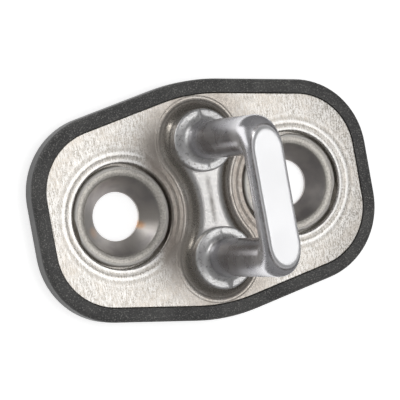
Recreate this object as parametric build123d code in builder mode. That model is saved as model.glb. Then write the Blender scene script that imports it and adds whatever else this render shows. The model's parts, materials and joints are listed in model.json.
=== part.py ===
"""Vehicle door striker: a stamped plate that carries a forged loop and two floating screw seats on a pad.

Millimetres. The origin is the centre of the mounting plane, +Z points away from the door pillar,
X runs along the two screws and Y along the loop.
"""
import os
from math import cos, hypot, radians, tan

from build123d import *

# --- Layout -------------------------------------------------------------------------------------
screw_pitch = 38.7           # between the two screw axes
loop_pitch = 25.0            # between the two legs of the loop

# --- Floating screw seats -----------------------------------------------------------------------
throat_r = 5.16              # through hole for the screw
seat_rim_r = 10.6
throat_land = 0.8            # straight length of the throat
seat_cone_angle = 84.0       # included angle of the countersink, degrees
seat_mouth_r = 8.4
seat_neck_wall = 1.0         # wall of the neck where it leaves the flange
seat_rim_crown = 0.2         # rise of the domed rim
seat_rim_round = 0.5
seat_mouth_round = 0.5
seat_lip = 0.95              # thickness of the rolled lip that holds the seat in the plate
seat_lip_hold = 0.7          # how far the lip reaches under the well floor
grip_flat_depth = 0.5        # three flats on the rim
grip_flats = 3
left_seat_turn = 67.0        # each seat is free to turn, degrees
right_seat_turn = 95.0

# --- Clearances of the screw seats --------------------------------------------------------------
float_play = 0.4             # sideways play of a seat in its well
height_play = 0.05           # play of a seat between the well floor and its lip
seat_rim_sink = 0.8          # rim of a seat below the plate front face
lip_sink = 0.1               # lip of a seat above the foot of the well
pad_squeeze = 0.2            # foot of the wells above the mounting plane before the screws are tight

# --- Striker plate ------------------------------------------------------------------------------
sheet = 2.6                  # sheet thickness
end_land = 4.9               # flat sheet left beyond each screw well
crest_land = 0.4             # flat sheet left beyond each end of the boss
side_slope = 10.1            # slope of the long sides, degrees
corner_r = 13.2
crest_r = 37.0               # rounding where two long sides meet
edge_round = 0.25            # blanked front edge
well_wall = 2.0              # drawn wall around each well
well_edge_round = 0.4        # front edge of each well
well_foot_round = 1.2
floor_web = 1.5              # floor of each well over the recess for the lip
coin_width = 1.1             # coined land around each well
coin_depth = 0.07
coin_slope = 0.6             # width of the slope back up to the sheet

# --- Raised boss of the plate -------------------------------------------------------------------
boss_height = 1.9
boss_draft = 40.0            # lean of the boss sides from the vertical, degrees
boss_root_round = 2.9
boss_top_round = 2.5

# --- Striker loop -------------------------------------------------------------------------------
bar_r = 4.0
loop_height = 36.9           # plate front face to the flat of the crown
crown_cut = 1.4              # depth of the flat pressed on the crown
bend_r = 2.6                 # centreline radius of the two tight bends
crown_round = 0.5            # softened edge of the flat
collar_r = 6.6
collar_side = 1.9            # straight side of a collar above the boss
collar_sink = 0.45           # depth of a collar in its seat on the boss
collar_overhang = 0.15       # collar side beyond the top edge of the boss
collar_round = 0.35          # front edge of a collar
collar_rise = 0.25           # rise of its front face towards the leg
leg_root_round = 1.2         # hollow round between a collar and its leg
tenon_step = 0.8             # shoulder between leg and tenon
tenon_fit = 0.02             # radial fit of a tenon in the plate
rivet_head = 1.7             # height of an upset head
rivet_round = 0.9
rivet_gap = 0.35             # head to the wall of the boss hollow

# --- Mounting pad -------------------------------------------------------------------------------
pad_rim = 2.98               # rim beyond the edge of the plate
pad_lip = 0.2                # rim above the plate front face
pad_round = 1.15             # outer front edge
pad_foot = 1.4               # height of the slanted foot
pad_foot_in = 0.8            # how far the foot leans in
pad_fit = 0.05               # rim to the edge of the plate
pad_well_gap = 0.4           # opening around each drawn well
pad_window_gap = 0.4         # window around the boss hollow

# --- Heights, from the mounting plane up --------------------------------------------------------
well_foot = pad_squeeze
seat_bottom = well_foot + lip_sink
lip_top = seat_bottom + seat_lip
recess_top = lip_top + height_play
well_floor = recess_top + floor_web
flange_bottom = well_floor + height_play
cone_run = tan(radians(seat_cone_angle / 2))
cone_bottom = seat_bottom + throat_land
seat_rim_top = cone_bottom + (seat_mouth_r - throat_r) / cone_run
plate_top = seat_rim_top + seat_rim_sink
plate_back = plate_top - sheet
coin_land = plate_top - coin_depth
boss_top = plate_top + boss_height
hollow_top = boss_top - sheet
collar_bottom = boss_top - collar_sink
collar_edge = boss_top + collar_side
crown_top = plate_top + loop_height
crown_axis = crown_top - bar_r + crown_cut
bend_level = crown_axis - bend_r

# --- Radii and reaches --------------------------------------------------------------------------
screw_x = screw_pitch / 2
leg_y = loop_pitch / 2
leg_to_screw = hypot(screw_x, leg_y)
seat_neck_r = seat_mouth_r - (seat_rim_top - flange_bottom) * cone_run + seat_neck_wall
floor_hole_r = seat_neck_r + float_play
lip_r = floor_hole_r + seat_lip_hold
recess_r = lip_r + float_play
well_r = seat_rim_r + float_play
well_outer_r = well_r + well_wall
coin_r = well_r + coin_width
boss_run = boss_height * tan(radians(boss_draft))
boss_top_r = collar_r - collar_overhang
boss_foot_r = boss_top_r + boss_run
boss_reach = boss_foot_r + boss_root_round * tan(radians(45 - boss_draft / 2))
hollow_foot_r = boss_foot_r - sheet / cos(radians(boss_draft)) + sheet * tan(radians(boss_draft))
hollow_top_r = hollow_foot_r - boss_run
rivet_head_r = hollow_top_r - rivet_gap
tenon_r = bar_r - tenon_step
half_length = screw_x + well_r + end_land
half_width = leg_y + boss_reach + crest_land


def plate_outline(grow=0.0):
    """Barrel-shaped outline: upright ends, sloping long sides, everything rounded."""
    peak = half_width + crest_r * (1 / cos(radians(side_slope)) - 1)
    shoulder = peak - half_length * tan(radians(side_slope))
    with BuildSketch() as outline:
        with BuildLine():
            Polyline(
                (half_length, shoulder),
                (0, peak),
                (-half_length, shoulder),
                (-half_length, -shoulder),
                (0, -peak),
                (half_length, -shoulder),
                close=True,
            )
        make_face()
        crests = outline.vertices().group_by(Axis.X)[1]
        fillet(crests, crest_r)
        columns = outline.vertices().group_by(Axis.X)
        fillet(columns[0] + columns[-1], corner_r)
        if grow:
            offset(amount=grow)
    return outline.sketch


def round_edges(part, radius, height):
    """Round edges of one radius at one height."""
    rounds = part.edges().filter_by(GeomType.CIRCLE)
    return rounds.filter_by(lambda edge: hypot(edge.radius - radius, edge.arc_center.Z - height) < 0.01)


def bone_outline(radius):
    """Dog-bone outline: round about each leg, with a waist concentric with the screw wells."""
    join_x = radius * screw_x / leg_to_screw
    join_y = leg_y - radius * leg_y / leg_to_screw
    waist_x = screw_x - (leg_to_screw - radius)
    end_y = leg_y + radius
    with BuildSketch() as outline:
        with BuildLine():
            ThreePointArc((join_x, join_y), (0, end_y), (-join_x, join_y))
            ThreePointArc((-join_x, join_y), (-waist_x, 0), (-join_x, -join_y))
            ThreePointArc((-join_x, -join_y), (0, -end_y), (join_x, -join_y))
            ThreePointArc((join_x, -join_y), (waist_x, 0), (join_x, join_y))
        make_face()
    return outline.sketch


# --- Striker plate ------------------------------------------------------------------------------
with BuildPart() as striker_plate:
    with BuildSketch(Plane.XY.offset(plate_back)):
        add(plate_outline())
    extrude(amount=sheet)
    fillet(striker_plate.edges().group_by(Axis.Z)[-1], edge_round)

    # raised boss with drafted sides and a rounded top and root
    with BuildSketch(Plane.XY.offset(plate_top)):
        add(bone_outline(boss_foot_r))
    with BuildSketch(Plane.XY.offset(boss_top)):
        add(bone_outline(boss_top_r))
    loft(ruled=True)
    fillet(striker_plate.edges().group_by(Axis.Z)[-1], boss_top_round)
    foot_edges = round_edges(striker_plate, boss_foot_r, plate_top)
    foot_edges += round_edges(striker_plate, leg_to_screw - boss_foot_r, plate_top)
    fillet(foot_edges, boss_root_round)

    # drawn wells for the screw seats, each in a coined land
    with BuildSketch(Plane.XY.offset(well_foot)):
        with Locations((-screw_x, 0), (screw_x, 0)):
            Circle(well_outer_r)
    extrude(amount=plate_back + sheet / 2 - well_foot)
    fillet(striker_plate.edges().group_by(Axis.Z)[0], well_foot_round)
    for side in (-1, 1):
        with BuildSketch(Plane((side * screw_x, 0, 0), x_dir=(1, 0, 0), z_dir=(0, -1, 0))):
            with BuildLine():
                Polyline(
                    (0, coin_land),
                    (coin_r, coin_land),
                    (coin_r + coin_slope, plate_top),
                    (0, plate_top),
                    close=True,
                )
            make_face()
        revolve(axis=Axis((side * screw_x, 0, 0), (0, 0, 1)), mode=Mode.SUBTRACT)
    with BuildSketch(Plane.XY.offset(well_floor)):
        with Locations((-screw_x, 0), (screw_x, 0)):
            Circle(well_r)
    extrude(amount=plate_top - well_floor, mode=Mode.SUBTRACT)
    fillet(round_edges(striker_plate, well_r, coin_land), well_edge_round)
    with BuildSketch(Plane.XY.offset(well_foot)):
        with Locations((-screw_x, 0), (screw_x, 0)):
            Circle(recess_r)
    extrude(amount=recess_top - well_foot, mode=Mode.SUBTRACT)
    with BuildSketch(Plane.XY.offset(recess_top)):
        with Locations((-screw_x, 0), (screw_x, 0)):
            Circle(floor_hole_r)
    extrude(amount=floor_web, mode=Mode.SUBTRACT)

    # hollow back of the boss
    with BuildSketch(Plane.XY.offset(plate_back)):
        add(bone_outline(hollow_foot_r))
    with BuildSketch(Plane.XY.offset(hollow_top)):
        add(bone_outline(hollow_top_r))
    loft(ruled=True, mode=Mode.SUBTRACT)

    # seats and holes for the two legs of the loop
    with BuildSketch(Plane.XY.offset(collar_bottom)):
        with Locations((0, -leg_y), (0, leg_y)):
            Circle(collar_r)
    extrude(amount=collar_sink, mode=Mode.SUBTRACT)
    with BuildSketch(Plane.XY.offset(hollow_top)):
        with Locations((0, -leg_y), (0, leg_y)):
            Circle(tenon_r + tenon_fit)
    extrude(amount=sheet, mode=Mode.SUBTRACT)

# --- Striker loop -------------------------------------------------------------------------------
with BuildPart() as striker_loop:
    for side in (-1, 1):
        # leg, collar, tenon and upset head, turned about the axis of the leg
        with BuildSketch(Plane((0, side * leg_y, 0), x_dir=(1, 0, 0), z_dir=(0, -1, 0))) as profile:
            with BuildLine():
                Polyline(
                    (0, hollow_top - rivet_head),
                    (rivet_head_r - rivet_round, hollow_top - rivet_head),
                    (rivet_head_r, hollow_top - rivet_head + rivet_round),
                    (rivet_head_r, hollow_top),
                    (tenon_r, hollow_top),
                    (tenon_r, collar_bottom),
                    (collar_r, collar_bottom),
                    (collar_r, collar_edge),
                    (bar_r, collar_edge + collar_rise),
                    (bar_r, bend_level),
                    (0, bend_level),
                    close=True,
                )
            make_face()
            fillet(profile.vertices().sort_by_distance((collar_r, collar_edge))[0], collar_round)
            leg_root = (bar_r, collar_edge + collar_rise)
            fillet(profile.vertices().sort_by_distance(leg_root)[0], leg_root_round)
        revolve(axis=Axis((0, side * leg_y, 0), (0, 0, 1)))

        # tight bend into the crown
        with BuildSketch(Plane.XY.offset(bend_level)):
            with Locations((0, side * leg_y)):
                Circle(bar_r)
            with Locations((0, side * (leg_y - bend_r - 2 * bar_r))):
                Rectangle(4 * bar_r, 4 * bar_r, mode=Mode.SUBTRACT)
        revolve(axis=Axis((0, side * (leg_y - bend_r), bend_level), (side, 0, 0)), revolution_arc=90)

    # crown with the flat pressed on it
    with BuildSketch(Plane((0, bend_r - leg_y, crown_axis), x_dir=(1, 0, 0), z_dir=(0, 1, 0))):
        Circle(bar_r)
    extrude(amount=loop_pitch - 2 * bend_r)
    with Locations((0, 0, crown_top)):
        Box(4 * bar_r, loop_pitch + 4 * bar_r, 2 * bar_r, align=(Align.CENTER, Align.CENTER, Align.MIN),
            mode=Mode.SUBTRACT)
    fillet(striker_loop.edges().group_by(Axis.Z)[-1], crown_round)

# --- Screw seats --------------------------------------------------------------------------------
def build_seat(place_x, turn):
    """Turned screw seat: domed flange, countersink, throat, neck and rolled lip, with three grip flats."""
    flat_reach = seat_rim_r - grip_flat_depth
    with BuildPart() as seat:
        with BuildSketch(Plane.XZ):
            with BuildLine():
                Polyline(
                    (seat_mouth_r, seat_rim_top),
                    (throat_r, cone_bottom),
                    (throat_r, seat_bottom),
                    (lip_r, seat_bottom),
                    (lip_r, lip_top),
                    (seat_neck_r, lip_top),
                    (seat_neck_r, flange_bottom),
                    (seat_rim_r, flange_bottom),
                    (seat_rim_r, seat_rim_top),
                )
                middle = (seat_mouth_r + seat_rim_r) / 2
                ThreePointArc((seat_rim_r, seat_rim_top), (middle, seat_rim_top + seat_rim_crown),
                              (seat_mouth_r, seat_rim_top))
            make_face()
        revolve(axis=Axis.Z)
        fillet(round_edges(seat, seat_rim_r, seat_rim_top), seat_rim_round)
        fillet(round_edges(seat, seat_mouth_r, seat_rim_top), seat_mouth_round)
        with BuildSketch(Plane.XY.offset(flange_bottom)):
            with PolarLocations(flat_reach, grip_flats, start_angle=turn):
                Rectangle(seat_rim_r, 2 * seat_rim_r, align=(Align.MIN, Align.CENTER))
        extrude(amount=seat_rim_top + seat_rim_crown - flange_bottom, mode=Mode.SUBTRACT)
    return seat.part.moved(Location((place_x, 0, 0)))


# --- Mounting pad -------------------------------------------------------------------------------
with BuildPart() as mounting_pad:
    # slanted foot, upright side and rounded front edge
    with BuildSketch(Plane.XY):
        add(plate_outline(pad_rim - pad_foot_in))
    with BuildSketch(Plane.XY.offset(pad_foot)):
        add(plate_outline(pad_rim))
    loft(ruled=True)
    with BuildSketch(Plane.XY.offset(pad_foot)):
        add(plate_outline(pad_rim))
    extrude(amount=plate_top + pad_lip - pad_foot)
    fillet(mounting_pad.edges().group_by(Axis.Z)[-1], pad_round)

    # recess for the plate
    with BuildSketch(Plane.XY.offset(plate_back)):
        add(plate_outline(pad_fit))
    extrude(amount=sheet + pad_lip, mode=Mode.SUBTRACT)

    # openings for the drawn wells and a window over the upset heads
    with BuildSketch(Plane.XY):
        with Locations((-screw_x, 0), (screw_x, 0)):
            Circle(well_outer_r + pad_well_gap)
        add(bone_outline(hollow_foot_r + pad_window_gap))
    extrude(amount=plate_back, mode=Mode.SUBTRACT)

# --- Labels and files ---------------------------------------------------------------------------
os.makedirs("parts", exist_ok=True)
striker_plate.part.label = "striker_plate"
export_step(striker_plate.part, "parts/striker_plate.step")
striker_loop.part.label = "striker_loop"
export_step(striker_loop.part, "parts/striker_loop.step")
for side, place_x, turn in (("left", -screw_x, left_seat_turn), ("right", screw_x, right_seat_turn)):
    seat_washer = build_seat(place_x, turn)
    seat_washer.label = f"seat_washer_{side}"
    export_step(seat_washer, f"parts/seat_washer_{side}.step")
mounting_pad.part.label = "mounting_pad"
export_step(mounting_pad.part, "parts/mounting_pad.step")
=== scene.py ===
"""Looks of the vehicle door striker: stamped plate, forged loop, floating screw seats, moulded pad."""
import json
import math

import bmesh
import bpy
from mathutils import Matrix, Vector, noise


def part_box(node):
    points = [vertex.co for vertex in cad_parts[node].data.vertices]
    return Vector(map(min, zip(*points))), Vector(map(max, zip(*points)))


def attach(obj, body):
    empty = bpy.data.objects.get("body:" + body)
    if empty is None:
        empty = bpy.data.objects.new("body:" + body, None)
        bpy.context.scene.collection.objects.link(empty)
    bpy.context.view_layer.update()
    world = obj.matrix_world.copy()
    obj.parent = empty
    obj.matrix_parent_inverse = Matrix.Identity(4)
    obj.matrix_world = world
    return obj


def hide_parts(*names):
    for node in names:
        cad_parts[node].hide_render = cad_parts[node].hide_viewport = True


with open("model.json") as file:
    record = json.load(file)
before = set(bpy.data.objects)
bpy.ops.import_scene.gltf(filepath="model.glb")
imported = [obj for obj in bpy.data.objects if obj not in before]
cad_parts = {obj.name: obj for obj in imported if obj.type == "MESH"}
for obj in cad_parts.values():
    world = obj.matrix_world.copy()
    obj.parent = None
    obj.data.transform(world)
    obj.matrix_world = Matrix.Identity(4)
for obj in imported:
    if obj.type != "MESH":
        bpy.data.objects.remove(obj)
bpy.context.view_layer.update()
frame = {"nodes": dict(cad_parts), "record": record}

MM = 0.001
HAIR = 0.001 * MM            # two points nearer than this are one

# --- Places taken from the frame ----------------------------------------------------------------
PAD_LOW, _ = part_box("mounting_pad")
LOOP_LOW, LOOP_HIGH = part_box("striker_loop")
_, PLATE_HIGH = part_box("striker_plate")
_, SEAT_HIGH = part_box("seat_washer_right")
SEATS = next(mount for mount in frame["record"]["mounts"] if mount["name"] == "screw_seats")
SCREW_X = SEATS["dims"]["spacing_x_mm"] / 2 * MM
SEAT_R = SEAT_HIGH.x - SCREW_X
COLLAR_R = LOOP_HIGH.x
LEG_Y = LOOP_HIGH.y - COLLAR_R
LEG_TO_SCREW = math.hypot(SCREW_X, LEG_Y)
CROWN_TOP = LOOP_HIGH.z

# --- Plate and seats: the sizes that their finish follows ---------------------------------------
BOSS_TOP = PLATE_HIGH.z
BOSS_RISE = 1.9 * MM
PLATE_TOP = BOSS_TOP - BOSS_RISE
SHEET = 2.6 * MM             # thickness of the plate
BOSS_FOOT_R = 9.3 * MM       # outer ring of the boss, from the axis of a leg
RING_R = 13.15 * MM          # first crest of the waves round a well, painted bright
RING_PITCH = 1.6 * MM
CONE_R = 8.0 * MM            # mouth of the countersink in a seat
TURNING_PITCH = 0.31 * MM    # fine lines left on a seat by turning

# --- Loop: the sizes of the forging -------------------------------------------------------------
BAR_R = 4.0 * MM
CROWN_CUT = 1.4 * MM         # depth of the flat on the crown
CROWN_AXIS = CROWN_TOP - BAR_R + CROWN_CUT
CROWN_SOFT = 0.1 * MM        # softness of the edge of that flat
COLLAR_LOW = BOSS_TOP - 0.45 * MM   # the collars are let into the boss
COLLAR_EDGE = BOSS_TOP + 1.9 * MM   # top of their straight side
COLLAR_FACE = COLLAR_EDGE + 0.25 * MM       # their face rises to the leg
COLLAR_ROUND = 0.35 * MM
ROOT_ROUND = 1.2 * MM        # hollow round between a collar and its leg
LEG_START = COLLAR_FACE + 1.3 * MM
TENON_R = 3.2 * MM
HEAD_TOP = BOSS_TOP - SHEET
HEAD_R = 4.5 * MM
HEAD_ROUND = 0.9 * MM
INNER_BEND_R = 0.8 * MM      # soft inner corner
FIRM_BEND = (6.6 * MM, 0.030)       # outer radius, and swell of the corner as a share of its reach
EASY_BEND = (7.5 * MM, 0.015)       # the same on the other leg
BEND_R = INNER_BEND_R + BAR_R
BEND_LEVEL = CROWN_AXIS - BEND_R
SIDES = 144                  # faces round the bar
LEG_RINGS = 72               # rings of faces along a leg
BEND_RINGS = 30
CROWN_RINGS = 22             # along half of the crown

# Flash of the dies on a collar: its rise, its spread at the edge, what that gains inward, and how fast.
OUTER_FLASH = (0.42 * MM, 0.20 * MM, 1.5 * MM, 1.6)
INNER_FLASH = (0.16 * MM, 0.15 * MM, 0.5 * MM, 2.0)
FLASH_TOP = LEG_START + 0.6 * MM
FLASH_PEAK = 1.3             # sharpness of its crest
FLASH_EDGE = 0.25            # share of the rise that is left at the edge of the collar

# Unevenness of the forging: depth and length of its waves and of its dents.
WAVE_DEPTH = 0.018 * MM
WAVE_LENGTH = 4.5 * MM
DENT_DEPTH = 0.002 * MM
DENT_LENGTH = 1.6 * MM
DENT_SHIFT = Vector((7, 3, 1))

# --- Tones --------------------------------------------------------------------------------------
SHEET_PIT = (0.33, 0.305, 0.27, 1)
SHEET_BRIGHT = (0.91, 0.885, 0.85, 1)
SHEET_SCUFF = (0.47, 0.44, 0.40, 1)
SHEET_WARM = (0.66, 0.60, 0.53, 1)
TARNISH_AND_SHADE = (0.43, 0.39, 0.35, 1)
STRIP_BROWN = (0.34, 0.30, 0.265, 1)
SLOPE_PAINTED_SHADE = (0.36, 0.33, 0.29, 1)
SLOPE_PAINTED_LIGHT = (0.68, 0.60, 0.515, 1)
WEB_GREY = (0.62, 0.61, 0.60, 1)
STREAK = (0.20, 0.19, 0.18, 1)
RING_PAINTED_SHADE = (0.40, 0.375, 0.34, 1)
RING_PAINTED_HIGHLIGHT = (0.95, 0.94, 0.92, 1)
LEG_PAINTED_SHADE_TONES = ((0.50, 0.49, 0.52, 1), (0.58, 0.57, 0.59, 1))
BEND_PAINTED_LIGHT_TONES = ((0.86, 0.85, 0.88, 1), (0.93, 0.92, 0.94, 1))
COLLAR_TONES = ((0.55, 0.54, 0.53, 1), (0.90, 0.895, 0.89, 1))
CROWN_TONES = ((0.80, 0.80, 0.81, 1), (0.84, 0.84, 0.85, 1))
CROWN_EDGE_SHADE = (0.33, 0.30, 0.28, 1)
RIM_TONES = ((0.48, 0.455, 0.415, 1), (0.68, 0.65, 0.60, 1))
CONE_SHADED_TONES = ((0.40, 0.375, 0.37, 1), (0.50, 0.475, 0.45, 1))
RIM_EDGE_WEAR_AND_HIGHLIGHT = (0.92, 0.90, 0.86, 1)
PAD_TONES = ((0.047, 0.046, 0.046, 1), (0.076, 0.075, 0.073, 1))
PAD_SPECK = (0.25, 0.245, 0.23, 1)
# Painted light in the countersink: orange reflections, shade and a highlight.
PAINTED_ORANGE_REFLECTION = (0.80, 0.42, 0.18, 1)
CONE_PAINTED_SHADE = (0.15, 0.14, 0.13, 1)
CONE_PAINTED_HIGHLIGHT = (0.68, 0.64, 0.59, 1)

# Painted shade, a painted highlight and painted orange reflections in the countersink of the left seat:
# place from its screw axis, size, strength and tone.
SEAT_PAINTED_SPOTS = (
    (-7.6 * MM, 0.0, 6.0 * MM, 0.85, CONE_PAINTED_SHADE),
    (7.0 * MM, -1.5 * MM, 4.2 * MM, 0.8, CONE_PAINTED_HIGHLIGHT),
    (4.75 * MM, -2.6 * MM, 1.35 * MM, 0.65, PAINTED_ORANGE_REFLECTION),
    (-6.05 * MM, -2.4 * MM, 1.6 * MM, 0.20, PAINTED_ORANGE_REFLECTION),
)

# --- Stage and light ----------------------------------------------------------------------------
WORLD_FILL = 0.62            # for matt surfaces
WORLD_ROOM = 0.28            # overhead, in reflections
HORIZON = math.radians(8)    # up to here reflections see white
ROOM_FOOT = math.radians(24)  # from here on they see the room
FLOOR_HALF = 3.0
FLOOR_TONE = (0.78, 0.78, 0.78, 1)
FLOOR_LIFT = 0.6             # keeps the floor white to the camera
FLOOR_GAP = 0.02 * MM
KEY_LAMP = (-7, 73, 13, 2.35)       # azimuth, elevation and reach in degrees, radiance
SIDE_LAMP = (134, 15, 9, 3.0)
LAMP_DISTANCE = 1.2
SCREEN_R = 50 * MM
SCREEN_WAIST = 0.74          # its reach along Y, as a share of that along X
SCREEN_TOP = 46 * MM
SCREEN_SILL = 24 * MM        # top of the window in it
SCREEN_WINDOW = math.radians(42)
SCREEN_FACES = 90
SCREEN_TONE = (0.36, 0.36, 0.365, 1)


# --- Material helpers ---------------------------------------------------------------------------
def new_material(name):
    """A material with an emptied node tree, its shader and its output."""
    material = bpy.data.materials.new(name)
    material.use_nodes = True
    nodes = material.node_tree.nodes
    nodes.clear()
    shader = nodes.new("ShaderNodeBsdfPrincipled")
    output = nodes.new("ShaderNodeOutputMaterial")
    material.node_tree.links.new(shader.outputs["BSDF"], output.inputs["Surface"])
    return material, shader


class Nodes:
    """Short calls for the nodes that the materials share."""

    def __init__(self, material):
        self.tree = material.node_tree
        self.coords = self.tree.nodes.new("ShaderNodeTexCoord").outputs["Object"]

    def add(self, kind, **values):
        node = self.tree.nodes.new(kind)
        for key, value in values.items():
            setattr(node, key, value)
        return node

    def link(self, source, target):
        self.tree.links.new(source, target)

    def put(self, socket, value):
        if isinstance(value, bpy.types.NodeSocket):
            self.link(value, socket)
        else:
            socket.default_value = value

    def math(self, operation, first, second=0.0):
        node = self.add("ShaderNodeMath", operation=operation)
        self.put(node.inputs[0], first)
        self.put(node.inputs[1], second)
        return node.outputs[0]

    def plus(self, first, second):
        return self.math("ADD", first, second)

    def minus(self, first, second):
        return self.math("SUBTRACT", first, second)

    def times(self, first, second):
        return self.math("MULTIPLY", first, second)

    def noise(self, scale, detail=3.0, roughness=0.5, stretch=(1, 1, 1)):
        mapping = self.add("ShaderNodeMapping")
        mapping.inputs["Scale"].default_value = stretch
        self.link(self.coords, mapping.inputs["Vector"])
        node = self.add("ShaderNodeTexNoise")
        self.link(mapping.outputs["Vector"], node.inputs["Vector"])
        node.inputs["Scale"].default_value = scale
        node.inputs["Detail"].default_value = detail
        node.inputs["Roughness"].default_value = roughness
        return node.outputs["Fac"]

    def ramp(self, value, low, high, low_out=0.0, high_out=1.0):
        node = self.add("ShaderNodeMapRange", interpolation_type="SMOOTHSTEP")
        self.link(value, node.inputs["Value"])
        node.inputs["From Min"].default_value = low
        node.inputs["From Max"].default_value = high
        node.inputs["To Min"].default_value = low_out
        node.inputs["To Max"].default_value = high_out
        return node.outputs["Result"]

    def mix(self, factor, first, second):
        node = self.add("ShaderNodeMix", data_type="RGBA")
        self.put(node.inputs["Factor"], factor)
        self.put(node.inputs["A"], first)
        self.put(node.inputs["B"], second)
        return node.outputs["Result"]

    def bump(self, height, distance, normal=None, strength=1.0):
        """Relief of a height, laid over an earlier relief where one is given."""
        node = self.add("ShaderNodeBump")
        self.link(height, node.inputs["Height"])
        node.inputs["Distance"].default_value = distance
        node.inputs["Strength"].default_value = strength
        if normal is not None:
            self.link(normal, node.inputs["Normal"])
        return node.outputs["Normal"]

    def place(self):
        """The three coordinates."""
        split = self.add("ShaderNodeSeparateXYZ")
        self.link(self.coords, split.inputs[0])
        return split.outputs["X"], split.outputs["Y"], split.outputs["Z"]

    def axes(self):
        """The three coordinates, with X and Y as distances from the middle planes."""
        x, y, height = self.place()
        return self.math("ABSOLUTE", x), self.math("ABSOLUTE", y), height

    def reach(self, first, second):
        """Length of a step with two parts."""
        squares = self.plus(self.math("POWER", first, 2.0), self.math("POWER", second, 2.0))
        return self.math("SQRT", squares)

    def spot(self, at_x, at_y):
        """Distance from an upright line."""
        x, y, _ = self.place()
        return self.reach(self.minus(x, at_x), self.minus(y, at_y))

    def boss_distance(self):
        """Distance from a leg, or on the waist the same distance counted back from the screw."""
        across, along, _ = self.axes()
        from_leg = self.reach(across, self.minus(along, LEG_Y))
        inward = self.minus(SCREW_X, across)
        from_screw = self.minus(LEG_TO_SCREW, self.reach(inward, along))
        waist = self.math("LESS_THAN", self.times(along, SCREW_X), self.times(inward, LEG_Y))
        node = self.add("ShaderNodeMix", data_type="FLOAT")
        self.put(node.inputs["Factor"], waist)
        self.put(node.inputs["A"], from_leg)
        self.put(node.inputs["B"], from_screw)
        return node.outputs["Result"]

    def well_radius(self):
        """Distance from the nearer screw axis."""
        across, along, _ = self.axes()
        return self.reach(self.minus(across, SCREW_X), along)

    def band(self, value, middle, width):
        """One at the middle value, fading to nothing at the given width on both sides."""
        return self.ramp(self.math("ABSOLUTE", self.minus(value, middle)), 0.0, width, 1.0, 0.0)


def brushed_sheet(n, speckle, grain, blotch):
    """Colour of the sheet: fine flecks along the brushing, scuffs and wide warm blotches."""
    fleck = n.ramp(n.plus(speckle, n.times(grain, 0.45)), 0.60, 0.82)
    colour = n.mix(fleck, SHEET_PIT, SHEET_BRIGHT)
    scuffs = n.ramp(n.noise(1100, detail=4, roughness=0.7, stretch=(1, 0.5, 1)), 0.54, 0.70, 0.0, 0.55)
    colour = n.mix(scuffs, colour, SHEET_SCUFF)
    return n.mix(n.ramp(blotch, 0.40, 0.72, 0.0, 0.55), colour, SHEET_WARM)


def boss_slope(n):
    """One on the slanted side of the boss, nothing on the sheet and on the web."""
    _, _, height = n.axes()
    above_foot = n.ramp(height, PLATE_TOP + 0.15 * MM, PLATE_TOP + 0.7 * MM)
    under_edge = n.ramp(height, BOSS_TOP - 0.15 * MM, BOSS_TOP - 0.6 * MM)
    return n.times(above_foot, under_edge)


def worn_and_shaded_boss(n, colour, speckle, blotch, slope):
    """Tarnish and painted shade round the boss, brown strips beside the wells, painted shade and light
    on the slope and a rubbed web.
    """
    across, along, height = n.axes()
    radius = n.well_radius()
    boss = n.boss_distance()

    # Real tarnish and painted shade: the sheet is darker and browner near the boss.
    near_boss = n.ramp(boss, 15.0 * MM, 9.8 * MM)
    colour = n.mix(n.times(near_boss, n.ramp(blotch, 0.35, 0.6, 0.60, 0.92)), colour, TARNISH_AND_SHADE)
    near_well = n.ramp(radius, 14.2 * MM, 13.0 * MM)
    strip = n.times(near_well, n.ramp(boss, 13.2 * MM, 11.4 * MM))
    strip = n.times(strip, n.ramp(n.noise(900, detail=4, roughness=0.7), 0.38, 0.60, 0.55, 1.0))
    colour = n.mix(strip, colour, STRIP_BROWN)

    # Painted shade on the slope: darker near the collars, lighter towards its foot.
    outward = n.ramp(boss, 7.3 * MM, 8.7 * MM)
    shade = n.mix(outward, SLOPE_PAINTED_SHADE, SLOPE_PAINTED_LIGHT)
    colour = n.mix(n.times(slope, n.ramp(blotch, 0.35, 0.6, 0.8, 0.97)), colour, shade)

    near_top = n.ramp(height, BOSS_TOP - 0.45 * MM, BOSS_TOP - 0.1 * MM)
    colour = n.mix(n.times(near_top, n.ramp(speckle, 0.3, 0.5, 0.5, 1.0)), colour, WEB_GREY)
    mid_line = n.ramp(across, 0.95 * MM, 0.0)
    streak = n.times(mid_line, n.ramp(along, 6.2 * MM, 3.2 * MM))
    streak = n.times(streak, n.ramp(n.noise(240, detail=1), 0.35, 0.60, 0.55, 1.0))
    return n.mix(streak, colour, STREAK)


def well_rings(n):
    """Shallow waves round each well, fading outward and towards the boss."""
    radius = n.well_radius()
    away = n.ramp(n.boss_distance(), 11.5 * MM, 14.5 * MM)
    fade = n.times(n.ramp(radius, 15.8 * MM, 13.2 * MM), away)
    turn = n.times(n.minus(radius, RING_R), 2 * math.pi / RING_PITCH)
    return n.times(n.math("COSINE", turn), fade)


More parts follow.
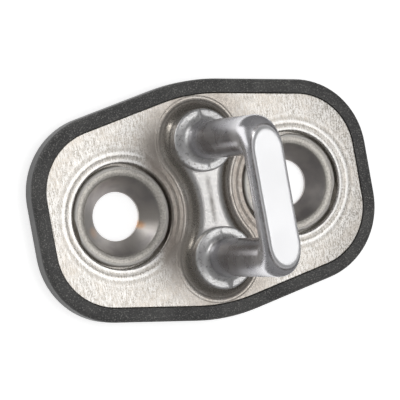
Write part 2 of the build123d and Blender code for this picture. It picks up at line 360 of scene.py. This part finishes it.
def plate_steel():
    """Tumbled and lightly brushed sheet with shallow waves round the wells, painted lighter on their
    crests and darker in their troughs, painted shade round and on the boss, burnished on the web of the
    boss.
    """
    material, shader = new_material("plate_steel_finish")
    n = Nodes(material)
    speckle = n.noise(3400, detail=3, roughness=0.75, stretch=(1, 0.75, 1))
    grain = n.noise(4200, detail=2, stretch=(1, 0.14, 1))
    blotch = n.noise(190, detail=4, roughness=0.6)
    slope = boss_slope(n)
    wave = well_rings(n)
    boss = n.boss_distance()

    colour = brushed_sheet(n, speckle, grain, blotch)
    colour = worn_and_shaded_boss(n, colour, speckle, blotch, slope)
    # Painted highlight and shade: the crests of the waves are lighter, the troughs duller.
    colour = n.mix(n.times(n.ramp(wave, -0.1, -0.8), 0.42), colour, RING_PAINTED_SHADE)
    colour = n.mix(n.times(n.ramp(wave, 0.1, 0.8), 0.6), colour, RING_PAINTED_HIGHLIGHT)
    n.link(colour, shader.inputs["Base Color"])
    shader.inputs["Metallic"].default_value = 1.0
    rough = n.ramp(speckle, 0.3, 0.7, 0.27, 0.44)
    n.link(n.minus(rough, n.times(slope, 0.10)), shader.inputs["Roughness"])

    foot_line = n.band(boss, BOSS_FOOT_R, 0.35 * MM)
    inner_line = n.band(boss, BOSS_FOOT_R - 0.95 * MM, 0.3 * MM)
    normal = n.bump(wave, 0.012 * MM)
    normal = n.bump(n.plus(foot_line, inner_line), 0.035 * MM, normal)
    normal = n.bump(grain, 0.009 * MM, normal)
    normal = n.bump(n.times(speckle, n.minus(1.0, slope)), 0.014 * MM, normal)
    n.link(normal, shader.inputs["Normal"])
    return material


def loop_steel():
    """Smooth forged bar with soft patches, legs painted darker and bends painted lighter, rough pressed
    collars, a rubbed flat on the crown and painted shade just under its edge.
    """
    material, shader = new_material("loop_steel_finish")
    n = Nodes(material)
    _, _, height = n.axes()
    patch = n.noise(240, detail=3, roughness=0.45)
    scuff = n.noise(1500, detail=5, roughness=0.75)
    on_bend = n.ramp(height, BEND_LEVEL - 4 * MM, BEND_LEVEL + 2 * MM)
    on_collar = n.ramp(height, LEG_START, COLLAR_FACE + 0.4 * MM)
    on_crown = n.ramp(height, CROWN_TOP - 0.45 * MM, CROWN_TOP - 0.12 * MM)

    uneven = n.ramp(patch, 0.35, 0.7)
    # Painted light and shade: the bends and the crown are lighter than the legs.
    colour = n.mix(on_bend, n.mix(uneven, *LEG_PAINTED_SHADE_TONES), n.mix(uneven, *BEND_PAINTED_LIGHT_TONES))
    colour = n.mix(on_collar, colour, n.mix(n.ramp(scuff, 0.36, 0.50), *COLLAR_TONES))
    rubbed = n.mix(n.ramp(n.noise(120, detail=2), 0.30, 0.70), *CROWN_TONES)
    colour = n.mix(on_crown, colour, rubbed)
    # Painted shade: a darker band just under the edge of the flat.
    under_edge = n.band(height, CROWN_TOP - 0.62 * MM, 0.4 * MM)
    edge_shade = n.times(under_edge, n.ramp(scuff, 0.35, 0.60, 0.3, 0.8))
    n.link(n.mix(edge_shade, colour, CROWN_EDGE_SHADE), shader.inputs["Base Color"])
    shader.inputs["Metallic"].default_value = 1.0
    rough = n.plus(n.ramp(patch, 0.3, 0.7, 0.24, 0.31), n.times(on_collar, 0.10))
    rough = n.times(rough, n.minus(1.0, on_crown))
    n.link(n.plus(rough, n.times(on_crown, 0.40)), shader.inputs["Roughness"])

    normal = n.bump(n.noise(2600, detail=3, roughness=0.7), 0.004 * MM)
    normal = n.bump(n.times(scuff, on_collar), 0.05 * MM, normal)
    n.link(normal, shader.inputs["Normal"])
    return material


def seat_steel(painted_spots=()):
    """Satin turned steel, worn and painted bright at its edge, painted darker in the countersink, with
    painted shade, highlight and reflection spots if given.
    """
    material, shader = new_material("seat_steel_finish")
    n = Nodes(material)
    radius = n.well_radius()
    speckle = n.noise(2600, detail=3, roughness=0.65)
    cloud = n.noise(260, detail=3)
    on_rim = n.ramp(radius, CONE_R, CONE_R + 0.6 * MM)
    on_edge = n.ramp(radius, SEAT_R - 0.9 * MM, SEAT_R - 0.35 * MM)

    rim = n.mix(n.ramp(speckle, 0.32, 0.66), *RIM_TONES)
    # Painted shade: the countersink is darker than the rim.
    cone = n.mix(n.ramp(cloud, 0.35, 0.65), *CONE_SHADED_TONES)
    # The outer edge is worn and painted bright, partly a painted highlight.
    colour = n.mix(on_edge, n.mix(on_rim, cone, rim), RIM_EDGE_WEAR_AND_HIGHLIGHT)
    # Painted shade, painted highlights and painted orange reflections on the walls of the countersink.
    for x, y, size, strength, tone in painted_spots:
        spread = n.plus(n.spot(x - SCREW_X, y), n.times(n.minus(cloud, 0.5), 0.9 * MM))
        tint = n.times(n.ramp(spread, size, 0.2 * size), n.ramp(on_rim, 0, 1, strength, 0))
        colour = n.mix(tint, colour, tone)
    n.link(colour, shader.inputs["Base Color"])
    shader.inputs["Metallic"].default_value = 1.0
    rough = n.plus(n.ramp(on_rim, 0, 1, 0.36, 0.42), n.times(on_edge, 0.15))
    n.link(rough, shader.inputs["Roughness"])

    turned = n.math("SINE", n.times(radius, 2 * math.pi / TURNING_PITCH))
    normal = n.bump(turned, 0.002 * MM)
    normal = n.bump(cloud, 0.10 * MM, normal, strength=0.5)
    normal = n.bump(speckle, 0.01 * MM, normal)
    n.link(normal, shader.inputs["Normal"])
    return material


def pad_rubber():
    """Near-black moulded rubber, grained on its front and smoother down its side."""
    material, shader = new_material("pad_rubber_finish")
    n = Nodes(material)
    _, _, height = n.axes()
    on_front = n.ramp(height, PLATE_TOP - 1.2 * MM, PLATE_TOP - 0.3 * MM)
    grain = n.noise(3300, detail=3, roughness=0.7)
    cloud = n.noise(150, detail=3)
    dark = n.mix(n.ramp(cloud, 0.3, 0.7), *PAD_TONES)
    specks = n.times(n.ramp(grain, 0.53, 0.68), on_front)
    n.link(n.mix(specks, dark, PAD_SPECK), shader.inputs["Base Color"])
    n.link(n.ramp(on_front, 0, 1, 0.42, 0.6), shader.inputs["Roughness"])
    relief = n.times(grain, n.plus(n.times(on_front, 0.8), 0.2))
    n.link(n.bump(relief, 0.07 * MM), shader.inputs["Normal"])
    return material


# --- Loop ---------------------------------------------------------------------------------------
def ring_edges(bm, radius, height):
    """Edges of a turned ring about a leg, found by its radius and height."""
    def on_ring(vert):
        reach = math.hypot(vert.co.x, vert.co.y - LEG_Y)
        return abs(reach - radius) < HAIR and abs(vert.co.z - height) < HAIR
    return [edge for edge in bm.edges if all(on_ring(vert) for vert in edge.verts)]


def turned_collar(bm):
    """Upset head, tenon, collar and root of one leg."""
    profile = (
        (0, LOOP_LOW.z),
        (HEAD_R, LOOP_LOW.z),
        (HEAD_R, HEAD_TOP),
        (TENON_R, HEAD_TOP),
        (TENON_R, COLLAR_LOW),
        (COLLAR_R, COLLAR_LOW),
        (COLLAR_R, COLLAR_EDGE),
        (BAR_R, COLLAR_FACE),
        (BAR_R, LEG_START),
    )
    verts = [bm.verts.new((reach, LEG_Y, height)) for reach, height in profile]
    edges = [bm.edges.new(pair) for pair in zip(verts, verts[1:])]
    bmesh.ops.spin(bm, geom=verts + edges, cent=(0, LEG_Y, 0), axis=(0, 0, 1), angle=2 * math.pi,
                   steps=SIDES, use_merge=True)
    bmesh.ops.remove_doubles(bm, verts=bm.verts, dist=HAIR)
    rounds = (
        (HEAD_R, LOOP_LOW.z, HEAD_ROUND, 5),
        (COLLAR_R, COLLAR_EDGE, COLLAR_ROUND, 4),
        (BAR_R, COLLAR_FACE, ROOT_ROUND, 9),
    )
    for radius, height, width, cuts in rounds:
        bmesh.ops.bevel(bm, geom=ring_edges(bm, radius, height), offset=width, offset_type="OFFSET",
                        segments=cuts, profile=0.5, affect="EDGES", material=-1)
    # The faces of the collars are cut finer, so that the flash has points to raise.
    spokes = [
        edge for edge in bm.edges
        if min(vert.co.z for vert in edge.verts) > COLLAR_EDGE - HAIR
        and max(vert.co.z for vert in edge.verts) < COLLAR_FACE
        and edge.calc_length() > 0.5 * MM
    ]
    bmesh.ops.subdivide_edges(bm, edges=spokes, cuts=6, use_grid_fill=True)


def drawn(bm, edges, steps, travel=Vector(), centre=(0, 0, 0), angle=0.0):
    """Draw a ring of edges along a travel, or round a centre, in even steps."""
    grown = bmesh.ops.spin(bm, geom=edges, cent=centre, axis=(1, 0, 0), dvec=travel / steps,
                           angle=angle, steps=steps)
    return [part for part in grown["geom_last"] if isinstance(part, bmesh.types.BMEdge)]


def squared_corner(co):
    """Push the outer side of a bend out to its tight radius, with a slight swell."""
    out = abs(co.y) - (LEG_Y - BEND_R)
    up = co.z - BEND_LEVEL
    if out <= 0 or up <= 0:
        return
    outer_r, swell = EASY_BEND if co.y > 0 else FIRM_BEND
    reach = math.hypot(out, up)
    run = out / reach
    rise = up / reach
    full = BEND_R + BAR_R
    shift = full - outer_r
    middle = shift * (run + rise)
    corner = middle + math.sqrt(middle**2 - 2 * shift**2 + outer_r**2)
    if min(run, rise) * corner < shift:
        corner = full / max(run, rise)
    corner *= 1 + swell * (2 * run * rise) ** 2
    grown = INNER_BEND_R + (reach - INNER_BEND_R) * (corner - INNER_BEND_R) / (full - INNER_BEND_R)
    co.y = math.copysign(LEG_Y - BEND_R + run * grown, co.y)
    co.z = BEND_LEVEL + rise * grown


def pressed_flat(co):
    """Flatten what stands above the crown, with a soft edge that is felt a little below it."""
    over = (co.z - CROWN_TOP) / CROWN_SOFT
    if over > -6:
        co.z = CROWN_TOP - CROWN_SOFT * math.log(1 + math.exp(-over))


def die_flash(co):
    """Raise the flash left where the two dies met, outside and inside each leg."""
    out = abs(co.y) - LEG_Y
    reach = math.hypot(co.x, out)
    if co.z < COLLAR_EDGE - COLLAR_ROUND or co.z > FLASH_TOP or reach < BAR_R - HAIR:
        return
    rise, spread, gain, power = OUTER_FLASH if out > 0 else INNER_FLASH
    inner = max(0.0, min(1.0, (COLLAR_R - reach) / (COLLAR_R - BAR_R)))
    share = max(0.0, 1 - abs(co.x) / (spread + gain * inner**power))
    co.z += rise * share**FLASH_PEAK * min(1.0, FLASH_EDGE + inner)


def hammered(bm):
    """Uneven surface of a forging: long soft waves and faint dents, above the seats of the collars."""
    bm.normal_update()
    for vert in bm.verts:
        if vert.co.z > COLLAR_LOW:
            wave = WAVE_DEPTH * noise.noise(vert.co / WAVE_LENGTH)
            dent = DENT_DEPTH * noise.noise(vert.co / DENT_LENGTH + DENT_SHIFT)
            vert.co += vert.normal * (wave + dent)


def forged_loop(finish):
    """The loop as one forging: half of it is turned and drawn, then mirrored and worked over."""
    bm = bmesh.new()
    turned_collar(bm)
    ring = ring_edges(bm, BAR_R, LEG_START)
    ring = drawn(bm, ring, LEG_RINGS, Vector((0, 0, BEND_LEVEL - LEG_START)))
    ring = drawn(bm, ring, BEND_RINGS, centre=(0, LEG_Y - BEND_R, BEND_LEVEL), angle=math.pi / 2)
    drawn(bm, ring, CROWN_RINGS, Vector((0, BEND_R - LEG_Y, 0)))
    bmesh.ops.remove_doubles(bm, verts=bm.verts, dist=HAIR)
    bmesh.ops.mirror(bm, geom=bm.verts[:] + bm.edges[:] + bm.faces[:], axis="Y", merge_dist=HAIR)
    bmesh.ops.remove_doubles(bm, verts=bm.verts, dist=HAIR)
    bmesh.ops.recalc_face_normals(bm, faces=bm.faces)
    for vert in bm.verts:
        squared_corner(vert.co)
        die_flash(vert.co)
    hammered(bm)
    for vert in bm.verts:
        pressed_flat(vert.co)
    for face in bm.faces:
        face.smooth = True
    mesh = bpy.data.meshes.new("forged_loop")
    bm.to_mesh(mesh)
    bm.free()
    mesh.set_sharp_from_angle(angle=math.radians(40))
    mesh.materials.append(finish)
    loop = bpy.data.objects.new("forged_loop", mesh)
    bpy.context.scene.collection.objects.link(loop)
    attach(loop, "striker")
    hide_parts("striker_loop")


# --- Stage --------------------------------------------------------------------------------------
def seen_rays(tree):
    """One for the rays that show a background: straight, mirrored and through glass."""
    path = tree.nodes.new("ShaderNodeLightPath")
    total = path.outputs["Is Camera Ray"]
    for name in ("Is Glossy Ray", "Is Transmission Ray"):
        more = tree.nodes.new("ShaderNodeMath")
        more.operation = "MAXIMUM"
        tree.links.new(total, more.inputs[0])
        tree.links.new(path.outputs[name], more.inputs[1])
        total = more.outputs[0]
    return total


def pale_floor():
    """Plain floor, lifted to white for the camera and the metal; it keeps the shadow."""
    mesh = bpy.data.meshes.new("floor")
    bm = bmesh.new()
    bmesh.ops.create_grid(bm, x_segments=1, y_segments=1, size=FLOOR_HALF)
    bm.to_mesh(mesh)
    bm.free()
    floor = bpy.data.objects.new("floor", mesh)
    bpy.context.scene.collection.objects.link(floor)
    material = bpy.data.materials.new("pale_floor")
    material.use_nodes = True
    tree = material.node_tree
    tree.nodes.clear()
    diffuse = tree.nodes.new("ShaderNodeBsdfDiffuse")
    diffuse.inputs["Color"].default_value = FLOOR_TONE
    glow = tree.nodes.new("ShaderNodeEmission")
    lift = tree.nodes.new("ShaderNodeMath")
    lift.operation = "MULTIPLY"
    lift.inputs[1].default_value = FLOOR_LIFT
    tree.links.new(seen_rays(tree), lift.inputs[0])
    tree.links.new(lift.outputs[0], glow.inputs["Strength"])
    both = tree.nodes.new("ShaderNodeAddShader")
    output = tree.nodes.new("ShaderNodeOutputMaterial")
    tree.links.new(diffuse.outputs[0], both.inputs[0])
    tree.links.new(glow.outputs[0], both.inputs[1])
    tree.links.new(both.outputs[0], output.inputs["Surface"])
    mesh.materials.append(material)
    floor.location.z = PAD_LOW.z - FLOOR_GAP


def grey_screen():
    """A low oval screen with a window towards the side lamp; only reflections show it."""
    mesh = bpy.data.meshes.new("grey_screen")
    bm = bmesh.new()
    bands = ((0, SCREEN_SILL, SCREEN_WINDOW), (SCREEN_SILL, SCREEN_TOP, 0.0))
    for low, high, window in bands:
        start = math.radians(SIDE_LAMP[0]) + window / 2
        foot = Vector((SCREEN_R * math.cos(start), SCREEN_R * math.sin(start), low))
        post = [bm.verts.new(foot), bm.verts.new(foot + Vector((0, 0, high - low)))]
        bmesh.ops.spin(bm, geom=post + [bm.edges.new(post)], cent=(0, 0, 0), axis=(0, 0, 1),
                       angle=2 * math.pi - window, steps=SCREEN_FACES)
    bmesh.ops.scale(bm, vec=(1, SCREEN_WAIST, 1), verts=bm.verts)
    bm.to_mesh(mesh)
    bm.free()
    material, shader = new_material("screen_cloth")
    shader.inputs["Base Color"].default_value = SCREEN_TONE
    shader.inputs["Roughness"].default_value = 1.0
    mesh.materials.append(material)
    screen = bpy.data.objects.new("grey_screen", mesh)
    bpy.context.scene.collection.objects.link(screen)
    screen.visible_camera = False
    screen.visible_diffuse = False
    screen.visible_shadow = False
    screen.visible_transmission = False


def direction(azimuth, elevation):
    """Unit step towards a lamp or the camera; the angles are in degrees."""
    turn = math.radians(azimuth)
    rise = math.radians(elevation)
    return Vector((math.cos(rise) * math.cos(turn), math.cos(rise) * math.sin(turn), math.sin(rise)))


def softbox(name, azimuth, elevation, reach, radiance):
    """A round lamp, seen from the object under an angle of twice its reach, with an even glow."""
    radius = LAMP_DISTANCE * math.tan(math.radians(reach))
    away = direction(azimuth, elevation)
    data = bpy.data.lights.new(name, "AREA")
    data.shape = "DISK"
    data.size = 2 * radius
    data.energy = radiance * math.pi * math.pi * radius**2
    lamp = bpy.data.objects.new(name, data)
    bpy.context.scene.collection.objects.link(lamp)
    turn = away.to_track_quat("Z", "Y").to_matrix().to_4x4()
    lamp.matrix_world = Matrix.Translation(away * LAMP_DISTANCE) @ turn


def studio_world():
    """White to the camera and low down in reflections, dim overhead in them, even for matt surfaces."""
    world = bpy.data.worlds.new("studio")
    bpy.context.scene.world = world
    world.use_nodes = True
    tree = world.node_tree
    tree.nodes.clear()
    split = tree.nodes.new("ShaderNodeSeparateXYZ")
    tree.links.new(tree.nodes.new("ShaderNodeTexCoord").outputs["Generated"], split.inputs[0])
    room = tree.nodes.new("ShaderNodeMapRange")
    room.interpolation_type = "SMOOTHSTEP"
    tree.links.new(split.outputs["Z"], room.inputs["Value"])
    room.inputs["From Min"].default_value = math.sin(HORIZON)
    room.inputs["From Max"].default_value = math.sin(ROOM_FOOT)
    room.inputs["To Min"].default_value = 1.0
    room.inputs["To Max"].default_value = WORLD_ROOM
    path = tree.nodes.new("ShaderNodeLightPath")
    straight = tree.nodes.new("ShaderNodeMix")
    tree.links.new(path.outputs["Is Camera Ray"], straight.inputs["Factor"])
    tree.links.new(room.outputs["Result"], straight.inputs["A"])
    straight.inputs["B"].default_value = 1.0
    seen = tree.nodes.new("ShaderNodeMix")
    tree.links.new(seen_rays(tree), seen.inputs["Factor"])
    seen.inputs["A"].default_value = WORLD_FILL
    tree.links.new(straight.outputs["Result"], seen.inputs["B"])
    back = tree.nodes.new("ShaderNodeBackground")
    output = tree.nodes.new("ShaderNodeOutputWorld")
    tree.links.new(seen.outputs["Result"], back.inputs["Strength"])
    back.inputs["Color"].default_value = (1, 1, 1, 1)
    tree.links.new(back.outputs[0], output.inputs["Surface"])


def front_camera():
    """Camera in front of the plate, slightly to the left and turned on its side."""
    distance = 597.24 * MM
    roll = math.radians(86.46)
    aim = Vector((-1.815 * MM, 0.177 * MM, PLATE_TOP))
    away = direction(azimuth=172.80, elevation=68.52)
    level = (-away).cross(Vector((0, 0, 1))).normalized()
    upright = level.cross(-away)
    right = level * math.cos(roll) + upright * math.sin(roll)
    up = upright * math.cos(roll) - level * math.sin(roll)
    turn = Matrix((right, up, away)).transposed().to_4x4()
    data = bpy.data.cameras.new("camera")
    data.sensor_width = 36.0
    data.lens = 256.0
    data.clip_start = 0.01
    camera = bpy.data.objects.new("camera", data)
    bpy.context.scene.collection.objects.link(camera)
    camera.matrix_world = Matrix.Translation(aim + away * distance) @ turn
    bpy.context.scene.camera = camera


# --- Put it together ----------------------------------------------------------------------------
FINISHES = {
    "striker_plate": plate_steel(),
    "seat_washer_left": seat_steel(SEAT_PAINTED_SPOTS),
    "seat_washer_right": seat_steel(),
    "mounting_pad": pad_rubber(),
}
for node, finish in FINISHES.items():
    frame["nodes"][node].material_slots[0].material = finish
forged_loop(loop_steel())

pale_floor()
grey_screen()
studio_world()
softbox("key_box", *KEY_LAMP)
softbox("side_box", *SIDE_LAMP)
front_camera()

view = bpy.context.scene.view_settings
view.view_transform = "Standard"
